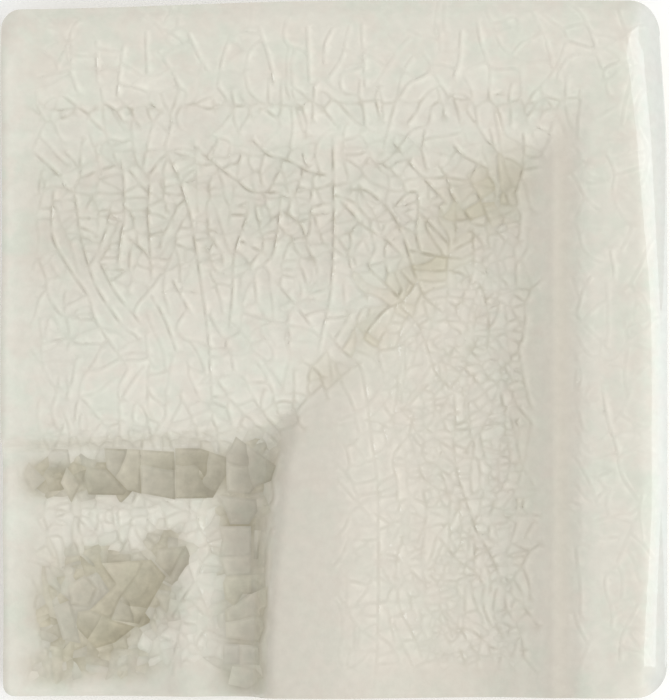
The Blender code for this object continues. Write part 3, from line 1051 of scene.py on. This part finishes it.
point_of = np.zeros(len(near_of), int)
point_of[origin_of[known]] = np.flatnonzero(known)
loop = point_of[rim_numbers]
ring = len(loop)
rim_place = face[loop]
ahead, behind = np.roll(rim_place, -1, axis=0), np.roll(rim_place, 1, axis=0)
along = (ahead - behind)[:, :2]
wall_out = np.stack([-along[:, 1], along[:, 0]], axis=1)
wall_out = wall_out / np.linalg.norm(wall_out, axis=1, keepdims=True)
round_way = np.cumsum(np.hypot(*(rim_place - behind)[:, :2].T))
turn = 2 * math.pi * round_way / round_way[-1]
waver = sum(np.sin(turn * waves + phase) for waves, phase in WAVER_WAVES) / WAVER_PEAK
glaze_end = GLAZE_LINE + GLAZE_WAVER * waver

rows = []
for share in np.linspace(0, 1, WALL_ROWS + 1)[1:]:
    rows.append((rim_place[:, 2] + (glaze_end + LINE_TOP - rim_place[:, 2]) * share, 0.0))
for drop, inset in LINE_ROWS:
    rows.append((glaze_end + drop, inset))
rows.append((np.full(ring, FOOT_CHAMFER), GLAZE_THICK))
rows.append((np.zeros(ring), FOOT_CHAMFER))
wall = [np.column_stack([rim_place[:, :2] - wall_out * inset, z]) for z, inset in rows]
numbers = [loop] + [len(face) + ring * k + np.arange(ring) for k in range(len(rows))]
quads = np.concatenate([
    np.stack([above, np.roll(above, -1), np.roll(below, -1), below], axis=1)
    for above, below in zip(numbers, numbers[1:])
])
points = np.vstack([face, *wall]) * MM
faces = triangles.tolist() + quads.tolist() + [numbers[-1].tolist()]
mesh = bpy.data.meshes.new("glazed_tile")
mesh.from_pydata(points.tolist(), [], faces)
mesh.validate()


def stand(name, data):
    """Puts an object into the scene."""
    thing = bpy.data.objects.new(name, data)
    bpy.context.scene.collection.objects.link(thing)
    return thing


tile = stand("glazed_tile", mesh)
shape = bmesh.new()
shape.from_mesh(mesh)
open_edges = sum(not edge.is_manifold for edge in shape.edges)
volume = shape.calc_volume(signed=True)
shape.free()
print(open_edges, "open edges, volume", round(volume / MM**3), "mm3,", len(mesh.polygons), "faces")

# %% [markdown]
# ## What the finish needs to know of each point
#
# A shader can't know where the moulding's lines run or how far a crack is, but the mesh does, so
# each of those values is stored on it. Depth, tone and stain change abruptly from cell to cell and
# belong to the corners of its triangles; the tone holds the shards' painted shade. The others are
# smooth and belong to its points. Warmth with its painted shade, paleness that is painted light,
# the cracks' painted highlight and the painted shade on the right side's rounding are among them,
# and they fade out down the wall from what they are at the rim, so that no line shows there.

# %% Attributes
EDGE_SHADE_REACH, EDGE_SHADE_SHARE = 0.78, 0.62
CRUMBLE_FROM = 0.08
# Paleness is painted light: chalk white laid on the top arm's steep drop below the lip, which would
# otherwise fall into shade; the glaze there is whiter too.
PALE_AND_LIT_BY_LINE = (
    (0.0, 0.0), (0.585, 0.0), (0.61, 0.45), (0.635, 0.45), (0.66, 0.1), (0.70, 0.1), (0.74, 0.2),
    (0.80, 0.0), (1.0, 0.0),
)


def add_attribute(name, domain, values):
    layer = mesh.attributes.new(name, "FLOAT", domain)
    layer.data.foreach_set("value", np.ascontiguousarray(values, np.float32).ravel())


crumble = smoothstep((line - CRUMBLE_FROM) / 0.08)
# Painted shade: the right side's rounding is greyed towards its edge, holding back the side lamps' light
# there.
edge_shade = EDGE_SHADE_SHARE * smoothstep(1 - (WIDTH - plan_x) / (EDGE_SHADE_REACH * side_rounding(plan_y)))
pale_and_lit = smooth_curve(PALE_AND_LIT_BY_LINE, line) * top_share
down_wall = smoothstep(1 - np.arange(1, len(rows) + 1) / FADE_ROWS)
for name, values in (("crack", crack_line), ("crack_highlight", crack_highlight), ("warmth_and_shade", warmth_and_shade),
                     ("crumble", crumble), ("edge_shade", edge_shade), ("pale_and_lit", pale_and_lit)):
    on_wall = np.multiply.outer(down_wall, values[loop]).ravel()
    add_attribute(name, "POINT", np.concatenate([values, on_wall]))
on_wall = np.zeros(len(mesh.loops) - triangles.size)
for name, values in (("depth", corner_depth), ("tone_and_shade", tone_and_shade), ("stain", corner_stain)):
    add_attribute(name, "CORNER", np.concatenate([values.ravel(), on_wall]))
print(values.size, "corners of the face hold their own depth, tone and stain")

# %% [markdown]
# ## Crackle glaze
#
# The glaze is a milky gloss, made opaque with tin, over pale clay. What the eye sees in it is light
# scattered back from within, and that is one soft colour at each point, so it is given as the base
# colour of a plain glossy surface: a real clear layer would cost a long render and look the same.
# The colour is laid on in turn: milk, with clouds of celadon and blush 3 mm across from uneven
# firing; sand where the glaze is warm, and as painted shade in the quirks and on the right arm's
# crest, where the lamps light it most; chalk where it is whitest, laid on as painted light on the
# top arm's drop below the lip; olive where it lies deep; tea in the stains; mist as painted shade
# on the right side's rounding. Silt in each crack draws it as a fine dark line, with a painted
# highlight, a pale halo, where its lifted edges catch the light, and silt in the pools makes a
# cloud of 1 mm. The gloss is nearly that of glass, and a grain of 0.6 mm keeps the cracked part's
# highlights from being perfect.

# %% Colours and nodes
def linear(hex_colour):
    """Linear RGBA of an sRGB hex colour."""
    srgb = [int(hex_colour[i : i + 2], 16) / 255 for i in (1, 3, 5)]
    return [c / 12.92 if c <= 0.04045 else ((c + 0.055) / 1.055) ** 2.4 for c in srgb] + [1.0]


def add_node(kind, settings=None, **inputs):
    """Adds a node to the tree at hand, sets its properties, and sets or links its inputs: one that
    is another node's output is linked. An input's name may also be its number, as i0 or i1."""
    node = tree.nodes.new(kind)
    for name, value in (settings or {}).items():
        setattr(node, name, value)
    for name, value in inputs.items():
        number = name[1:].isdigit() and name[0] == "i"
        socket = node.inputs[int(name[1:]) if number else name.replace("_", " ")]
        if isinstance(value, bpy.types.NodeSocket):
            tree.links.new(value, socket)
        else:
            socket.default_value = value
    return node


def new_material(name):
    """An empty material, its nodes, and its Principled shader."""
    material = bpy.data.materials.new(name)
    material.use_nodes = True
    return material, material.node_tree, material.node_tree.nodes["Principled BSDF"]


def attribute(name):
    return add_node("ShaderNodeAttribute", {"attribute_name": name}).outputs["Fac"]


def mixed(share, one, other, kind="RGBA"):
    """A colour or a value between two others."""
    first, last, out = (6, 7, 2) if kind == "RGBA" else (2, 3, 0)
    inputs = {"i0": share, f"i{first}": one, f"i{last}": other}
    return add_node("ShaderNodeMix", {"data_type": kind}, **inputs).outputs[out]


def cloud(size_mm, detail, offset):
    """Noise whose blotches are this many millimetres across."""
    place = add_node("ShaderNodeTexCoord").outputs["Object"]
    moved = add_node("ShaderNodeMapping", i0=place, i1=offset).outputs[0]
    scale = 1 / (size_mm * MM)
    noise = add_node("ShaderNodeTexNoise", i0=moved, Scale=scale, Detail=detail, Roughness=0.55)
    return noise.outputs["Fac"]


def ranged(value, low, high, to_low, to_high):
    """A value's range mapped to another, and kept within it."""
    node = add_node("ShaderNodeMapRange", i0=value, i1=low, i2=high, i3=to_low, i4=to_high)
    return node.outputs[0]


def times(one, other):
    return add_node("ShaderNodeMath", {"operation": "MULTIPLY"}, i0=one, i1=other).outputs[0]


def finish(colour, roughness, grain, depth_mm):
    """Gives the shader its colour, its roughness and a grain this deep."""
    tree.links.new(colour, shader.inputs["Base Color"])
    shader.inputs["Roughness"].default_value = roughness
    bump = add_node("ShaderNodeBump", Strength=0.6, Distance=depth_mm * MM, Height=grain)
    tree.links.new(bump.outputs[0], shader.inputs["Normal"])


# %% The glaze
MILK, CELADON, BLUSH = "#DAD7CB", "#D2D6C8", "#D9D2C6"
SAND_AND_SHADE, LIT_CHALK, OLIVE, TEA, SHADE_GREY = "#C5BDB0", "#EDEADF", "#9F977E", "#B2AA91", "#BDBFBC"
SEAM, SEAM_SHARE = "#958C74", 0.44

glaze, tree, shader = new_material("crackle_glaze")
green_share = ranged(cloud(3.2, 4, (0.3, 0.1, 0)), 0.42, 0.62, 0, 0.75)
blush_share = ranged(cloud(2.6, 4, (0.7, 0.5, 0)), 0.48, 0.66, 0, 0.75)
colour = mixed(green_share, linear(MILK), linear(CELADON))
colour = mixed(blush_share, colour, linear(BLUSH))
# Sand carries painted shade as well as warmth, chalk is painted light, and mist is painted shade.
for name, layer in (("warmth_and_shade", SAND_AND_SHADE), ("pale_and_lit", LIT_CHALK), ("depth", OLIVE), ("stain", TEA), ("edge_shade", SHADE_GREY)):
    colour = mixed(attribute(name), colour, linear(layer))
colour = mixed(ranged(attribute("crack"), 0, 1.5, 0, SEAM_SHARE), colour, linear(SEAM))
# Light and dark: each cell's own tone, with the shards' painted shade, the painted highlight of a
# crack's halo, and fine clouds
mottle = ranged(cloud(0.9, 3, (0.2, 0.9, 0)), 0.3, 0.7, 0.965, 1.03)
silt = ranged(cloud(1.1, 6, (0.5, 0.2, 0)), 0.3, 0.7, 0.84, 1.14)
shade = times(ranged(attribute("tone_and_shade"), -1, 1, 0.86, 1.13), ranged(attribute("crack_highlight"), 0, 1, 1, 1.09))
shade = times(shade, mixed(attribute("depth"), mottle, silt, "FLOAT"))
colour = add_node("ShaderNodeVectorMath", {"operation": "SCALE"}, i0=colour, Scale=shade).outputs[0]
finish(colour, 0.06, times(cloud(0.6, 3, (0, 0, 0)), attribute("crumble")), 0.04)
print(len(tree.nodes), "nodes in the glaze")

# %% [markdown]
# ## Bare clay
#
# Biscuit-fired white clay is cream and quite matt, and its grog shows as a grain of half a
# millimetre, in the colour as well as in the surface. One cloud gives both.

# %% Bisque
bisque, tree, shader = new_material("bisque")
grain = cloud(0.5, 5, (0, 0, 0))
finish(mixed(grain, linear("#D9CDB8"), linear("#E6DCCB")), 0.85, grain, 0.05)

tile.data.materials.append(glaze)
tile.data.materials.append(bisque)
index = np.zeros(len(mesh.polygons), np.int32)
index[len(triangles) + GLAZED_ROWS * ring :] = 1
mesh.polygons.foreach_set("material_index", index)
mesh.polygons.foreach_set("use_smooth", np.ones(len(mesh.polygons), bool))
mesh.set_sharp_from_angle(angle=math.radians(50))
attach(tile, "root")
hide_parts("corner_tile")
print(index.sum(), "faces of bare clay")

# %% [markdown]
# ## The stage
#
# The photograph has a soft, nearly shadowless light on white, and one clear mirror image: a tall
# bright strip down the rounding of the right side. So the world is a pale studio, and a slightly
# blue softbox stands where that rounding mirrors it. Two more lamps light the relief and aren't
# mirrored by the gloss: a soft key from the lower right, and a fill from the right. The camera
# looks straight down through a long lens, so the walls don't show.

# %% Floor, lights and camera
FLOOR_REACH = 1.5
LENS, SENSOR = 300, 36
PHOTO_SIZE = (670, 700)
FOCUS_HEIGHT = 12.5


def softbox(name, place, size, power, tint=(1, 1, 1), mirrored=False):
    """A rectangular lamp that looks at the tile. The gloss mirrors it only if asked to."""
    lamp = bpy.data.lights.new(name, "AREA")
    lamp.shape = "RECTANGLE"
    lamp.size, lamp.size_y = size
    lamp.energy, lamp.color = power, tint
    light = stand(name, lamp)
    light.location = place
    way = Vector((0, 0, 0.012)) - Vector(place)
    light.rotation_euler = way.to_track_quat("-Z", "Y").to_euler()
    light.visible_glossy = mirrored


floor_mesh = bpy.data.meshes.new("studio_floor")
floor_corners = [(x * FLOOR_REACH, y * FLOOR_REACH, 0) for x, y in ((-1, -1), (1, -1), (1, 1), (-1, 1))]
floor_mesh.from_pydata(floor_corners, [], [(0, 1, 2, 3)])
floor = stand("studio_floor", floor_mesh)
paper, tree, shader = new_material("white_paper")
shader.inputs["Base Color"].default_value = linear("#FAFAF9")
shader.inputs["Roughness"].default_value = 0.9
floor.data.materials.append(paper)

world = bpy.data.worlds.new("studio")
bpy.context.scene.world = world
world.use_nodes = True
world.node_tree.nodes["Background"].inputs["Color"].default_value = (1, 1, 1, 1)
world.node_tree.nodes["Background"].inputs["Strength"].default_value = 0.9

softbox("strip_softbox", (1.083, 0.035, 0.517), (0.45, 0.994), 3.5, (0.88, 0.96, 1.0), mirrored=True)
softbox("soft_key", (1.7, -0.6, 1.7), (1.4, 1.4), 8.0)
softbox("side_fill", (1.04, 0.0, 0.600), (0.68, 0.92), 1.0)

camera = stand("camera", bpy.data.cameras.new("camera"))
camera.data.sensor_fit = "VERTICAL"
camera.data.sensor_height = SENSOR
camera.data.lens = LENS
camera.data.clip_end = 10
distance = PHOTO_SIZE[1] * PIXEL * LENS / SENSOR
centre_x = (PHOTO_SIZE[0] / 2 - PHOTO_LEFT) * PIXEL - WIDTH / 2
centre_y = HEIGHT / 2 - (PHOTO_SIZE[1] / 2 - PHOTO_TOP) * PIXEL
camera.location = Vector((centre_x, centre_y, FOCUS_HEIGHT + distance)) * MM
bpy.context.scene.camera = camera
bpy.context.scene.view_settings.view_transform = "Standard"
print(f"camera {distance / 1000:.2f} m above the tile")
